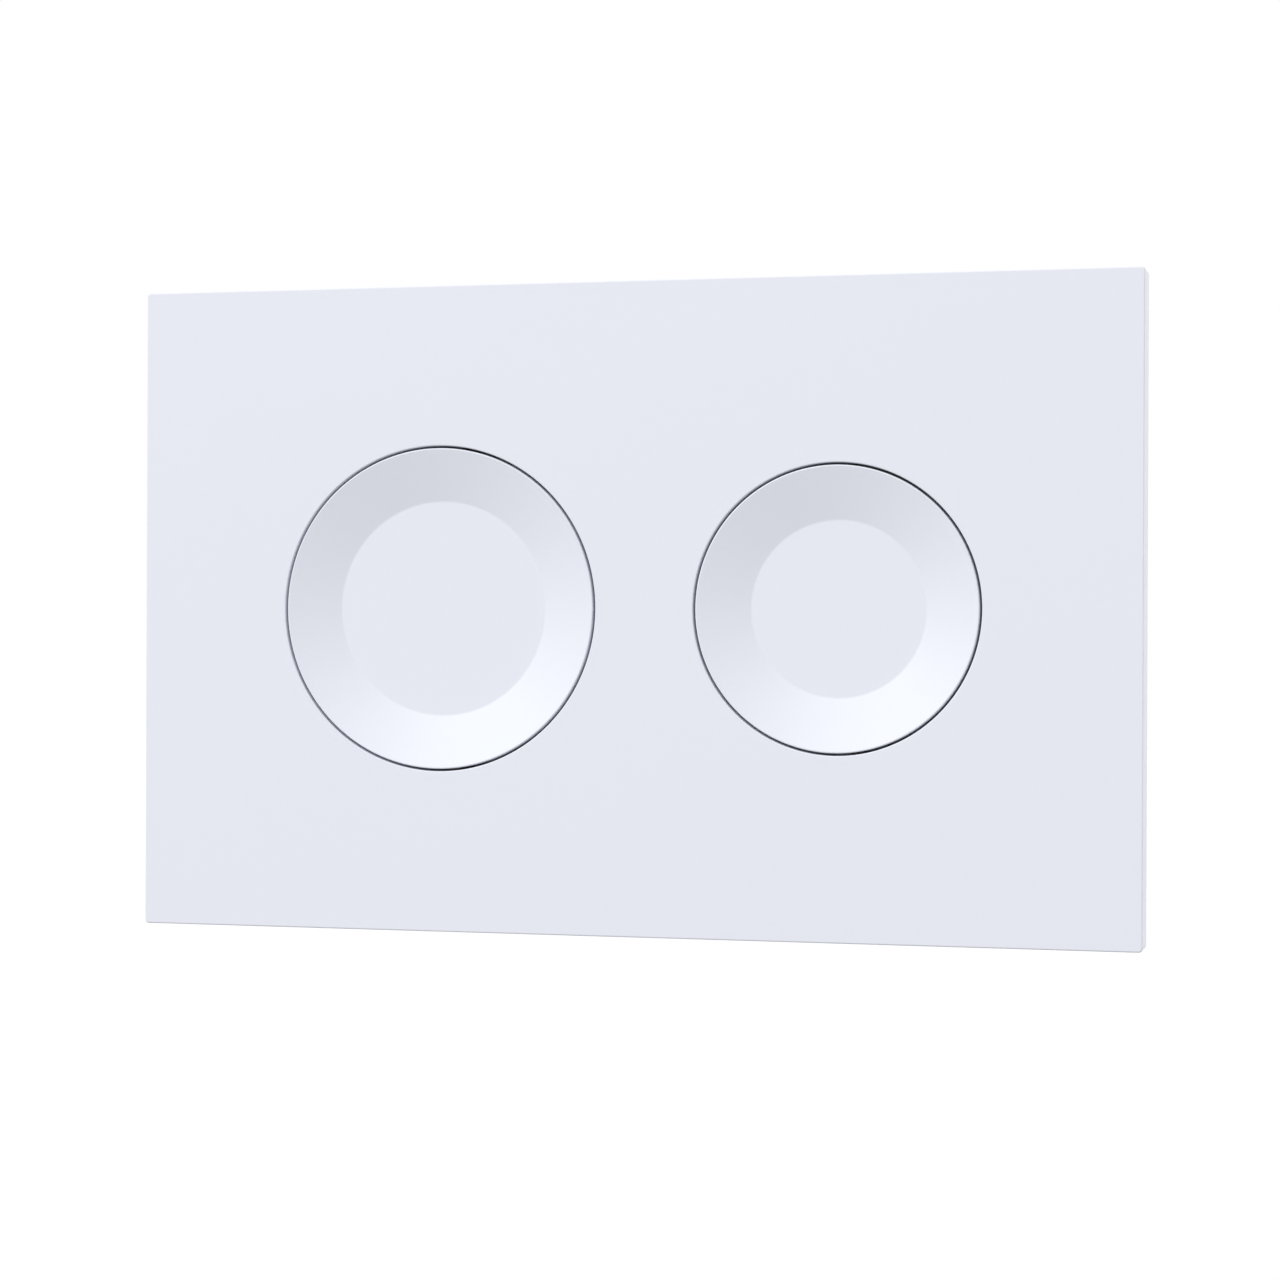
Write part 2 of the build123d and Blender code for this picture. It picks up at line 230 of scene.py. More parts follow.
class SharedEffects:
    """Node groups that several finishes use, each made once."""

    def __init__(self) -> None:
        """Makes the groups."""
        self.grain = self._mould_grain()
        self.marks = self._ejector_marks()
        self.streaks = self._drawn_streaks()

    @staticmethod
    def _open(name: str, inputs: dict[str, str], outputs: Sequence[str]) -> tuple[Graph, list]:
        """Starts a group.

        Args:
            name: Name of the group.
            inputs: Socket kinds by input name.
            outputs: Names of the number outputs.

        Returns:
            The group's graph and its input sockets.
        """
        tree = bpy.data.node_groups.new(name, "ShaderNodeTree")
        for label, kind in inputs.items():
            tree.interface.new_socket(label, in_out="INPUT", socket_type=f"NodeSocket{kind}")
        for label in outputs:
            tree.interface.new_socket(label, in_out="OUTPUT", socket_type="NodeSocketFloat")
        graph = Graph(tree)
        return graph, list(graph.add("NodeGroupInput").outputs)

    def _mould_grain(self) -> bpy.types.NodeTree:
        """Spark-eroded grain of a mould, with slow changes of tone and gloss over the piece.

        Returns:
            The group.
        """
        inputs = {"Vector": "Vector", "Grain": "Float", "Drift": "Float"}
        graph, (vector, grain, drift, *_) = self._open("mould_grain", inputs, ("Height", "Tone", "Gloss"))
        pits = graph.add("ShaderNodeTexVoronoi", {"Vector": vector, "Scale": grain}).outputs["Distance"]
        fuzz = graph.noise(vector, graph.math("MULTIPLY", grain, 0.45), detail=3.0)
        height = graph.math("MULTIPLY_ADD", fuzz, 0.8, graph.math("MULTIPLY", pits, 0.6))
        tone = graph.noise(vector, drift, detail=2.0, Roughness=0.4)
        cloud = graph.noise(vector, graph.math("MULTIPLY", drift, 3.1), detail=4.0, Distortion=0.8)
        gloss = graph.math("MULTIPLY_ADD", fuzz, 0.3, graph.math("MULTIPLY", cloud, 0.7))
        graph.add("NodeGroupOutput", {"Height": height, "Tone": tone, "Gloss": gloss})
        return graph.tree

    def _ejector_marks(self) -> bpy.types.NodeTree:
        """Round marks that a mould's ejector pins leave, with the piece's middle between four of them.

        Returns:
            The group.
        """
        inputs = {"Vector": "Vector", "Pitch": "Float", "Radius": "Float"}
        graph, (vector, pitch, radius, *_) = self._open("ejector_marks", inputs, ("Ring",))
        split = graph.add("ShaderNodeSeparateXYZ", {0: vector})
        half = graph.math("MULTIPLY", pitch, 0.5)
        squares = []
        for axis in ("X", "Z"):
            cell = graph.math("PINGPONG", graph.math("ADD", split.outputs[axis], half), half)
            squares.append(graph.math("MULTIPLY", cell, cell))
        share = graph.math("DIVIDE", graph.math("SQRT", graph.math("ADD", *squares)), radius)
        graph.add("NodeGroupOutput", {"Ring": graph.math("COMPARE", share, 1.0, 0.08)})
        return graph.tree

    def _drawn_streaks(self) -> bpy.types.NodeTree:
        """Fine streaks of drawn wire or rolled strip, with a faint cloud of oxide.

        Returns:
            The group.
        """
        inputs = {"Vector": "Vector", "Stretch": "Vector", "Scale": "Float"}
        graph, (vector, stretch, scale, *_) = self._open("drawn_streaks", inputs, ("Streak", "Cloud"))
        pulled = graph.add("ShaderNodeVectorMath", {0: vector, 1: stretch}, operation="MULTIPLY").outputs[0]
        streak = graph.noise(pulled, scale, detail=4.0)
        cloud = graph.noise(vector, scale=180.0, detail=3.0)
        graph.add("NodeGroupOutput", {"Streak": streak, "Cloud": cloud})
        return graph.tree


@dataclass(frozen=True)
class Finish:
    """What all finishes have.

    Attributes:
        colour: Lighter tone, linear.
        gloss: Lowest and highest roughness.
        shade: Darker tone, as a share of the colour.
    """

    colour: Triple
    gloss: Span
    shade: float

    def material(self, name: str, effects: SharedEffects) -> bpy.types.Material:
        """Makes the finish.

        Args:
            name: Name of the material.
            effects: Shared node groups.

        Returns:
            The material.
        """
        made = bpy.data.materials.new(name)
        graph = Graph.of(made)
        place = graph.add("ShaderNodeTexCoord").outputs["Object"]
        shader = graph.add("ShaderNodeBsdfPrincipled", self.surface(graph, place, effects))
        graph.add("ShaderNodeOutputMaterial", {"Surface": shader.outputs[0]})
        return made

    def tones(self, graph: Graph, factor: Socket) -> Socket:
        """Blends from the darker to the lighter tone."""
        dark = tuple(part * self.shade for part in self.colour)
        return graph.blend(factor, dark, self.colour)

    def surface(self, graph: Graph, place: Socket, effects: SharedEffects) -> dict:
        """Wires what is particular to a finish, and returns what goes into the shader."""
        raise NotImplementedError


@dataclass(frozen=True)
class Moulding(Finish):
    """Moulded plastic or rubber, with the grain of its mould.

    Attributes:
        grain: Grains in a metre.
        relief: Depth of the grain in metres.
        drift: Scale of the slow changes.
        marks: Pitch of ejector marks in metres, or 0 for none.
    """

    grain: float
    relief: float
    drift: float = 14.0
    marks: float = 0.0

    def surface(self, graph: Graph, place: Socket, effects: SharedEffects) -> dict:
        """Wires the grain, and the ejector marks where the piece has them.

        Args:
            graph: Graph of the material.
            place: Place on the piece.
            effects: Shared node groups.

        Returns:
            Sockets for the shader's inputs.
        """
        given = {"Vector": place, "Grain": self.grain, "Drift": self.drift}
        grain = graph.add("ShaderNodeGroup", given, node_tree=effects.grain).outputs
        height = grain["Height"]
        if self.marks:
            edge_depth = 4.0
            pins = {"Vector": place, "Pitch": self.marks, "Radius": 0.0025}
            ring = graph.add("ShaderNodeGroup", pins, node_tree=effects.marks).outputs["Ring"]
            height = graph.math("SUBTRACT", height, graph.math("MULTIPLY", ring, edge_depth))
        return {
            "Base Color": self.tones(graph, grain["Tone"]),
            "Roughness": graph.spread(grain["Gloss"], *self.gloss),
            "Normal": graph.bump(height, self.relief),
        }


@dataclass(frozen=True)
class Metal(Finish):
    """Drawn or rolled steel.

    Attributes:
        stretch: Share of the streaks' scale along each axis.
    """

    stretch: Triple

    def surface(self, graph: Graph, place: Socket, effects: SharedEffects) -> dict:
        """Wires the streaks and the cloud.

        Args:
            graph: Graph of the material.
            place: Place on the piece.
            effects: Shared node groups.

        Returns:
            Values and sockets for the shader's inputs.
        """
        given = {"Vector": place, "Stretch": self.stretch, "Scale": 2600.0}
        streaks = graph.add("ShaderNodeGroup", given, node_tree=effects.streaks).outputs
        return {
            "Base Color": self.tones(graph, streaks["Cloud"]),
            "Roughness": graph.spread(streaks["Streak"], *self.gloss),
            "Metallic": 1.0,
            "Normal": graph.bump(streaks["Streak"], distance=6e-6, strength=0.6),
        }


WHITE = (0.79, 0.81, 0.885)

FINISHES: dict[Slot, Finish] = {
    Slot.PANEL: Moulding(WHITE, (0.42, 0.50), 0.985, grain=2600.0, relief=6e-6, drift=9.0),
    Slot.BUTTON: Moulding(WHITE, (0.40, 0.48), 0.985, grain=2800.0, relief=5e-6, drift=11.0),
    Slot.CHASSIS: Moulding((0.32, 0.33, 0.35), (0.48, 0.62), 0.90, grain=1900.0, relief=16e-6, marks=0.050),
    Slot.FRAME: Moulding((0.44, 0.46, 0.48), (0.46, 0.60), 0.92, grain=1500.0, relief=18e-6, marks=0.070),
    Slot.ACETAL: Moulding((0.80, 0.80, 0.77), (0.30, 0.40), 0.95, grain=3200.0, relief=5e-6),
    Slot.ROD: Moulding((0.35, 0.42, 0.52), (0.32, 0.44), 0.90, grain=3000.0, relief=6e-6),
    Slot.STUD: Moulding((0.26, 0.27, 0.29), (0.42, 0.56), 0.88, grain=2600.0, relief=12e-6),
    Slot.NUT: Moulding((0.17, 0.18, 0.19), (0.44, 0.58), 0.86, grain=2200.0, relief=14e-6),
    Slot.RUBBER: Moulding((0.035, 0.035, 0.037), (0.66, 0.82), 0.75, grain=1800.0, relief=20e-6),
    Slot.ZINC: Metal((0.64, 0.64, 0.61), (0.28, 0.46), 0.82, stretch=(1.0, 0.3, 1.0)),
    Slot.CLIP: Metal((0.58, 0.58, 0.58), (0.26, 0.40), 0.82, stretch=(0.08, 1.0, 1.0)),
    Slot.SPRING: Metal((0.60, 0.60, 0.59), (0.22, 0.36), 0.82, stretch=(0.4, 1.0, 0.4)),
}


def of_kind(kind: type, geom: Sequence) -> list:
    """Vertices, edges or faces among some geometry."""
    return [part for part in geom if isinstance(part, kind)]


def is_level(part: BMEdge | BMFace, h: float) -> bool:
    """Whether all corners of an edge or a face lie at a height."""
    return all(abs(vert.co.y + h) < LEVEL for vert in part.verts)


def arc(r: float, h: float, radius: float, start: float, end: float) -> Profile:
    """Points on an arc about a centre at radius r and height h, from one angle to another."""
    angles = [start + (end - start) * step / ARC for step in range(ARC + 1)]
    return [(r + radius * math.cos(angle), h + radius * math.sin(angle)) for angle in angles]


class Workpiece:
    """A mesh in the making, in millimetres, with an axis that points out of the wall."""

    def __init__(self, x: float = 0.0, z: float = 0.0) -> None:
        """Starts an empty mesh, with its axis at a place across and up the plate."""
        self.bm = bmesh.new()
        self.x, self.z = x, z

    def chain(self, points: Sequence[Vector], closed: bool = False) -> list:
        """Joins points in order with edges.

        Args:
            points: The points.
            closed: Whether the last one joins the first.

        Returns:
            The vertices and edges.
        """
        verts = [self.bm.verts.new(point) for point in points]
        nexts = verts[1:] + verts[:1] if closed else verts[1:]
        return [*verts, *(self.bm.edges.new(pair) for pair in zip(verts, nexts))]

    def turn(self, geom: Sequence, steps: int, turns: float = 1.0, rise: float = 0.0) -> list:
        """Sweeps vertices and edges about the axis.

        Args:
            geom: The vertices and edges.
            steps: Steps in all.
            turns: Turns in all.
            rise: Height gained in all, or 0 for a full turn that closes.

        Returns:
            The vertices and edges at the end of the sweep.
        """
        swept = bmesh.ops.spin(
            self.bm, geom=geom, cent=(self.x, 0, self.z), axis=(0, 1, 0), dvec=(0, -rise / steps, 0),
            angle=math.tau * turns, steps=steps, use_merge=not rise,
        )
        return [part for part in swept["geom_last"] if not isinstance(part, BMFace)]

    def revolve(self, profile: Profile, steps: int = ROUND, closed: bool = False) -> None:
        """Turns a profile of radii and heights, open or closed, once about the axis."""
        geom = self.chain([Vector((self.x + r, -h, self.z)) for r, h in profile], closed)
        self.turn(geom, steps)

    def lift(self, faces: Sequence[BMFace], along: Vector | Triple) -> None:
        """Draws flat faces out along a line to solids."""
        drawn = bmesh.ops.extrude_face_region(self.bm, geom=faces)["geom"]
        bmesh.ops.translate(self.bm, vec=along, verts=of_kind(BMVert, drawn))

    def prism(self, points: Sequence[Vector], along: Vector) -> None:
        """Draws a flat outline out along a line to a solid."""
        face = self.bm.faces.new([self.bm.verts.new(point) for point in points])
        self.lift([face], along)

    def block(self, x: Span, h: Span, z: Span) -> None:
        """Adds a box.

        Args:
            x: Reach across the plate.
            h: Reach in height.
            z: Reach up the plate.
        """
        middle = Vector(((x[0] + x[1]) / 2, -(h[0] + h[1]) / 2, (z[0] + z[1]) / 2))
        size = Vector((abs(x[1] - x[0]), abs(h[1] - h[0]), abs(z[1] - z[0])))
        bmesh.ops.create_cube(self.bm, size=1.0, matrix=Matrix.LocRotScale(middle, None, size))

    def sheet(self, width: float, height: float, h: float) -> list[BMVert]:
        """Adds a flat rectangle at a height, about the middle of the plate, and returns its corners."""
        place = Matrix.Translation((0, -h, 0)) @ TILT @ Matrix.Diagonal((width, height, 1.0, 1.0))
        return bmesh.ops.create_grid(self.bm, x_segments=1, y_segments=1, size=0.5, matrix=place)["verts"]

    def ring(self, radius: float, h: float, segments: int = 48) -> None:
        """Adds an open circle about the axis, at a height."""
        place = Matrix.Translation((self.x, -h, self.z)) @ TILT
        bmesh.ops.create_circle(self.bm, cap_ends=False, segments=segments, radius=radius, matrix=place)

    def open_edges(self, h: float) -> list[BMEdge]:
        """Edges at a height that have no face on one side."""
        return [edge for edge in self.bm.edges if (edge.is_boundary or edge.is_wire) and is_level(edge, h)]

    def wires(self, h: float) -> list[BMEdge]:
        """Edges at a height that have no face at all."""
        return [edge for edge in self.open_edges(h) if edge.is_wire]

    def fill(self, h: float) -> None:
        """Closes the flat region between the open edges at a height."""
        bmesh.ops.triangle_fill(self.bm, use_beauty=True, use_dissolve=False, edges=self.open_edges(h))

    def sink(self, edges: Sequence[BMEdge], h: float) -> list[BMVert]:
        """Draws open edges out to another height.

        Args:
            edges: The edges.
            h: Height that the new edges lie at.

        Returns:
            The new vertices.
        """
        moved = of_kind(BMVert, bmesh.ops.extrude_edge_only(self.bm, edges=edges)["geom"])
        for vert in moved:
            vert.co.y = -h
        return moved

    def absorb(self, other: "Workpiece") -> None:
        """Takes over another mesh.

        Args:
            other: The mesh, which is used up.
        """
        held = bpy.data.meshes.new("held")
        other.bm.to_mesh(held)
        other.bm.free()
        self.bm.from_mesh(held)
        bpy.data.meshes.remove(held)

    def merge(self, distance: float = SAME) -> None:
        """Joins vertices that lie on each other, or within a distance."""
        bmesh.ops.remove_doubles(self.bm, verts=self.bm.verts, dist=distance)

    def trim(self, point: Vector | Triple, away: Vector | Triple) -> None:
        """Cuts off what lies away from a plane through a point."""
        geom = [*self.bm.verts, *self.bm.edges, *self.bm.faces]
        bmesh.ops.bisect_plane(
            self.bm, geom=geom, dist=CUT, plane_co=point, plane_no=away, clear_outer=True,
        )

    def thread(self, radius: float, pitch: float, reach: Span, steps: int = 28) -> None:
        """Adds a rod with a screw thread and bevelled ends about the axis.

        Args:
            radius: Radius over the crests.
            pitch: Rise of one turn.
            reach: Heights of the front and the rear end.
            steps: Steps of one turn.
        """
        front, back = reach
        core, flank, lead = radius - 0.54 * pitch, 0.4 * pitch, 0.2
        turns = math.ceil((front - back) / pitch) + 2
        top = front + pitch
        crest = [(core, top), (radius, top - flank), (radius, top - pitch + flank), (core, top - pitch)]
        rod = Workpiece(self.x, self.z)
        geom = rod.chain([Vector((self.x + r, -h, self.z)) for r, h in crest])
        rod.turn(geom, steps * turns, turns, -pitch * turns)
        rod.merge()
        for h, away in ((front, -1.0), (back, 1.0)):
            rod.trim((0, -h, 0), (0, away, 0))
            rod.fill(h)
        for vert in rod.bm.verts:
            out, up = vert.co.x - self.x, vert.co.z - self.z
            reached = math.hypot(out, up)
            limit = core - lead + min(front + vert.co.y, -vert.co.y - back)
            if reached > limit > 0:
                vert.co.x = self.x + out * limit / reached
                vert.co.z = self.z + up * limit / reached
        self.absorb(rod)

    def hexagon(self, flats: float, reach: Span, bore: float = 0.0) -> None:
        """Adds a hexagon with turned ends about the axis, as on a nut or a screw head.

        Args:
            flats: Width across the flats.
            reach: Heights of the front and the rear end.
            bore: Radius of its bore, or 0 for none.
        """
        front, back = reach
        corner, face = flats / math.sqrt(3), flats / 2 * 0.95
        fall = (corner - face) * math.tan(math.radians(30))
        lead = 0.35 if bore else 0.0
        profile = [
            (bore + lead, front), (face, front), (corner, front - fall),
            (corner, back + fall), (face, back), (bore + lead, back),
        ]
        if bore:
            profile += [(bore, back + lead), (bore, front - lead)]
        nut = Workpiece(self.x, self.z)
        nut.revolve(profile, steps=72, closed=bool(bore))
        nut.merge()
        for side in range(6):
            angle = math.tau * (side + 0.5) / 6
            away = Vector((math.cos(angle), 0, math.sin(angle)))
            nut.trim(Vector((self.x, 0, self.z)) + away * flats / 2, away)
            nut.merge()
            bmesh.ops.holes_fill(nut.bm, edges=[edge for edge in nut.bm.edges if edge.is_boundary], sides=0)
        self.absorb(nut)

    def bevel(self, geom: Sequence, width: float, segments: int, affect: str = "EDGES") -> None:
        """Rounds edges, or corners of a sheet, to a width and in a number of steps."""
        bmesh.ops.bevel(
            self.bm, geom=geom, offset=width, offset_type="OFFSET", affect=affect, segments=segments,
            profile=0.5, material=-1, clamp_overlap=False, loop_slide=False,
        )

    def soften(self, width: float) -> None:
        """Rounds the sharp edges that are longer than the rounding is wide."""
        sharp = [edge for edge in self.bm.edges if edge.is_manifold and edge.calc_face_angle() > SHARP]
        self.bevel([edge for edge in sharp if edge.calc_length() > width], width, segments=2)

    def object(self, name: str) -> bpy.types.Object:
        """Finishes the mesh as an object of the scene, at the origin.

        Args:
            name: Name of the object.

        Returns:
            The object.
        """
        self.merge()
        bmesh.ops.recalc_face_normals(self.bm, faces=self.bm.faces)
        for face in self.bm.faces:
            face.smooth = True
        for edge in self.bm.edges:
            edge.smooth = edge.is_manifold and edge.calc_face_angle() < CREASE
        bmesh.ops.scale(self.bm, vec=(MM, MM, MM), verts=self.bm.verts)
        mesh = bpy.data.meshes.new(name)
        self.bm.to_mesh(mesh)
        self.bm.free()
        piece = bpy.data.objects.new(name, mesh)
        bpy.context.scene.collection.objects.link(piece)
        piece.modifiers.new("even_shading", "WEIGHTED_NORMAL").keep_sharp = True
        return piece


class Fitter:
    """Dresses finished pieces and puts them on their bodies."""

    def __init__(self) -> None:
        """Makes the part's materials, one for each slot."""
        effects = SharedEffects()
        self.materials = {slot: finish.material(slot.value, effects) for slot, finish in FINISHES.items()}

    def fit(self, work: Workpiece, name: str, body: str, slot: Slot, node: str) -> bpy.types.Object:
        """Finishes a piece in the place of a solid.

        Args:
            work: Its mesh.
            name: Its name.
            body: Body that it moves with.
            slot: Slot of its finish.
            node: Solid that it stands for.

        Returns:
            The piece.
        """
        piece = work.object(name)
        piece.data.materials.append(self.materials[slot])
        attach(piece, body)
        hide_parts(node)
        log.info("%s on %s: %d faces", name, body, len(piece.data.polygons))
        return piece

    def refine(self, node: str, body: str, slot: Slot, width: float) -> None:
        """Stands a copy of a solid with rounded edges in its place.

        Args:
            node: The solid.
            body: Body that it moves with.
            slot: Slot of its finish.
            width: Width of the rounding in millimetres.
        """
        work = Workpiece()
        work.bm.from_mesh(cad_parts[node].data)
        bmesh.ops.scale(work.bm, vec=(1 / MM, 1 / MM, 1 / MM), verts=work.bm.verts)
        work.merge(SAME_PACKED)
        bmesh.ops.dissolve_limit(work.bm, angle_limit=FLAT, verts=work.bm.verts, edges=work.bm.edges)
        work.soften(width)
        self.fit(work, f"{node}_soft", body, slot, node)


@dataclass(frozen=True)
class Hook:
    """Snap hook, an arm with a catch on one side.

    Attributes:
        width: Its width.
        wall: Thickness of the arm.
        root: Depth that the arm stands in what carries it.
        gap: Gap beside the arm.
        play: Play behind the catch.
        reach: Reach of the catch from the arm.
        lip: Height of the catch's tip.
        nose: Length of the arm past the catch.
    """

    width: float
    wall: float
    root: float
    gap: float
    play: float
    reach: float
    lip: float
    nose: float

    def outline(self, side: float, way: int, foot: float, held: float) -> Profile:
        """Section of the hook.

        Args:
            side: Place of the arm's side with the catch.
            way: 1 for a catch that points outwards, -1 for inwards.
            foot: Height of the face that the arm stands on.
            held: Height of the face that the catch holds.

        Returns:
            Points of place and height.
        """
        bare, tip = side - way * self.wall, side + way * self.reach
        root, catch = foot + self.root, held - self.play
        nose = catch - self.nose
        return [
            (bare, root), (side, root), (side, catch), (tip, catch),
            (tip, catch - self.lip), (side, nose), (bare, nose),
        ]


@dataclass
class PushButton:
    """A dished button with its plunger, stop, rod and spring.

    Attributes:
        flush: Which of the two it is.
        fitter: Fits its pieces.
        gap: Gap round the cap in the panel.
        cone: Width of the sloping ring of the dish, with its rim.
        cone_break: Width that the rim takes of the cone.
        dish: Depth of the dish.
        wall: Thickness of the cap.
        skirt: Thickness of its skirt.
        skirt_length: Length of its skirt.
        rim: Radius of the rounded rim.
        travel: Length of the press; not used.
        plate: Thickness of the plunger's square plate.
        plate_side: Side of that plate.
        hook: Hooks that hold the plate.
        wire: Thickness of the spring's wire.
        coils: Open turns of the spring.
        closed: Closed turns at each of its ends.
        rod: Radius of the rod over its thread.
        shank: Radius of the rod's plain end.
        shank_length: Length of the plain end.
    """

    flush: Flush
    fitter: Fitter
    gap: float = 0.6
    cone: float = 13.1
    cone_break: float = 0.3
    dish: float = 3.7
    wall: float = 2.0
    skirt: float = 1.8
    skirt_length: float = 6.4
    rim: float = 0.3
    travel: float = 5.0
    plate: float = 2.0
    plate_side: float = 30.0
    hook: Hook = Hook(width=8.0, wall=1.6, root=1.0, gap=0.2, play=0.1, reach=1.2, lip=0.5, nose=1.6)
    wire: float = 1.0
    coils: float = 3.0
    closed: float = 0.75
    rod: float = 4.0
    shank: float = 3.4
    shank_length: float = 22.0

    def __post_init__(self) -> None:
        """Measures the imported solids."""
        self.extent = Extent.of(self.node("button_cap"))
        self.x = self.extent.x
        self.radius = self.extent.width / 2
        self.opening = self.radius + self.gap
        self.slope = math.atan(self.dish / (self.cone - self.cone_break))

    def node(self, piece: str) -> str:
        """Name of one of its solids, pieces or joints."""
        return f"{self.flush.value}_{piece}"

    @property
    def body(self) -> str:
        """Body that moves when it is pressed."""
        return self.node("button")

    def build(self) -> None:
        """Makes all its pieces."""
        self._cap()
        self._spring()
        self._rod()
        self._locknut()
        refine = self.fitter.refine
        refine(self.node("plunger"), self.body, Slot.ACETAL, width=0.2)
        refine(self.node("stop_washer"), self.body, Slot.RUBBER, width=0.25)
        refine(self.node("stop_clip"), self.body, Slot.CLIP, width=0.15)

    def _cap(self) -> None:
        """Dished cap with a rounded rim, a skirt and four hooks for the plunger's plate."""
        face = self.extent.front
        bottom = face - self.dish
        back = bottom - self.wall
        flat = self.radius - self.cone
        inner = self.radius - self.skirt
        inner_flat = flat + self.wall * math.tan(self.slope / 2)
        rise = math.tan(self.slope)
        end = face - self.skirt_length
        turn = math.pi / 2 + self.slope
        rim_h = face + self.cone_break * rise - self.rim * math.tan(turn / 2)
        # Half width and height of the soft crease at the cone's foot, flats beside it, bevel of the skirt
        foot, crest, land, bevel = 0.12, 0.012, 0.5, 0.3
        profile = [
            (flat - land, bottom), (flat - foot, bottom), (flat, bottom + crest),
            (flat + foot, bottom + foot * rise), (flat + land, bottom + land * rise),
            *arc(self.radius - self.rim, rim_h, self.rim, turn, 0.0),
            (self.radius, end + bevel), (self.radius - bevel, end),
            (inner + bevel, end), (inner, end + bevel), (inner, back + (inner - inner_flat) * rise),
            (inner_flat, back), (inner_flat - land, back),
        ]
        work = Workpiece(self.x)
        work.revolve(profile)
        work.fill(bottom)
        work.fill(back)
        outline = self.hook.outline(self.plate_side / 2 + self.hook.gap, -1, back, back - self.plate)
        for angle in QUARTERS:
            out = Vector((math.cos(angle), 0, math.sin(angle)))
            along = Vector((-math.sin(angle), 0, math.cos(angle))) * self.hook.width
            middle = Vector((self.x, 0, 0)) - along / 2
            work.prism([middle + out * r + Vector((0, -h, 0)) for r, h in outline], along)
        self.fitter.fit(work, self.node("cap_dished"), self.body, Slot.BUTTON, self.node("button_cap"))

    def _spring(self) -> None:
        """Round wire coil with closed ends."""
        # Rise of a closed turn in wires, play at each end, sides of the wire, steps of a turn
        tight, play, sides, steps = 1.03, 0.05, 12, 40
        node = self.node("return_spring")
        extent = Extent.of(node)
        radius = (extent.height - self.wire) / 2
        length = extent.front - extent.back
        closed = self.closed * self.wire * tight
        middle = (self.coils, length - self.wire - 2 * closed)
        work = Workpiece(self.x)
        start = Matrix.Translation((self.x + radius, -(extent.back + self.wire / 2), 0))
        bmesh.ops.create_circle(work.bm, cap_ends=True, segments=sides, radius=self.wire / 2, matrix=start)
        geom = [*work.bm.verts, *work.bm.edges]
        for turns, rise in ((self.closed, closed), middle, (self.closed, closed)):
            geom = work.turn(geom, int(turns * steps), turns, rise)
        bmesh.ops.holes_fill(work.bm, edges=of_kind(BMEdge, geom), sides=0)
        piece = self.fitter.fit(work, self.node("spring_coil"), "plate", Slot.SPRING, node)
        floor = (self.x * MM, -(extent.back - play) * MM, 0.0)
        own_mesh(piece)

    def _rod(self) -> None:
        """Threaded push rod with a plain rounded end."""
        extent = Extent.of(self.node("push_rod"))
        end, overlap = extent.back, 0.4
        step = end + self.shank_length
        rounding = ((0.0, 0.8), (0.25, 0.25), (0.9, 0.0))
        tip = [(self.shank - inwards, end + up) for inwards, up in rounding]
        work = Workpiece(self.x)
        work.thread(self.rod, pitch=2.0, reach=(extent.front, step))
        work.revolve([(0, step + overlap), (self.shank, step + overlap), *tip, (0, end)], steps=64)
        self.fitter.fit(work, self.node("rod_threaded"), self.body, Slot.ROD, self.node("push_rod"))

    def _locknut(self) -> None:
        """Hexagon nut that locks the rod."""
        extent = Extent.of(self.node("rod_locknut"))
        work = Workpiece(self.x)
        work.hexagon(flats=13.0, reach=(extent.front, extent.back), bore=self.rod + THREAD_PLAY)
        self.fitter.fit(work, self.node("locknut_turned"), self.body, Slot.NUT, self.node("rod_locknut"))


def frame_back() -> float:
    """Height of the back of the mounting frame's wall, which the panel's hooks and the studs bear on."""
    return Extent.of("mounting_frame").front - FRAME_WALL


def screw_places() -> list[tuple[float, float]]:
    """Works out where the tray's screws are, whose heads have two corners level with their middle.

    Returns:
        Their places across and up the plate.
    """
    box = Extent.of("chassis_screws")
    x, z = box.high.x - SCREW_FLATS / math.sqrt(3), box.high.z - SCREW_FLATS / 2
    return [(sx * x, sz * z) for sx in (-1, 1) for sz in (-1, 1)]


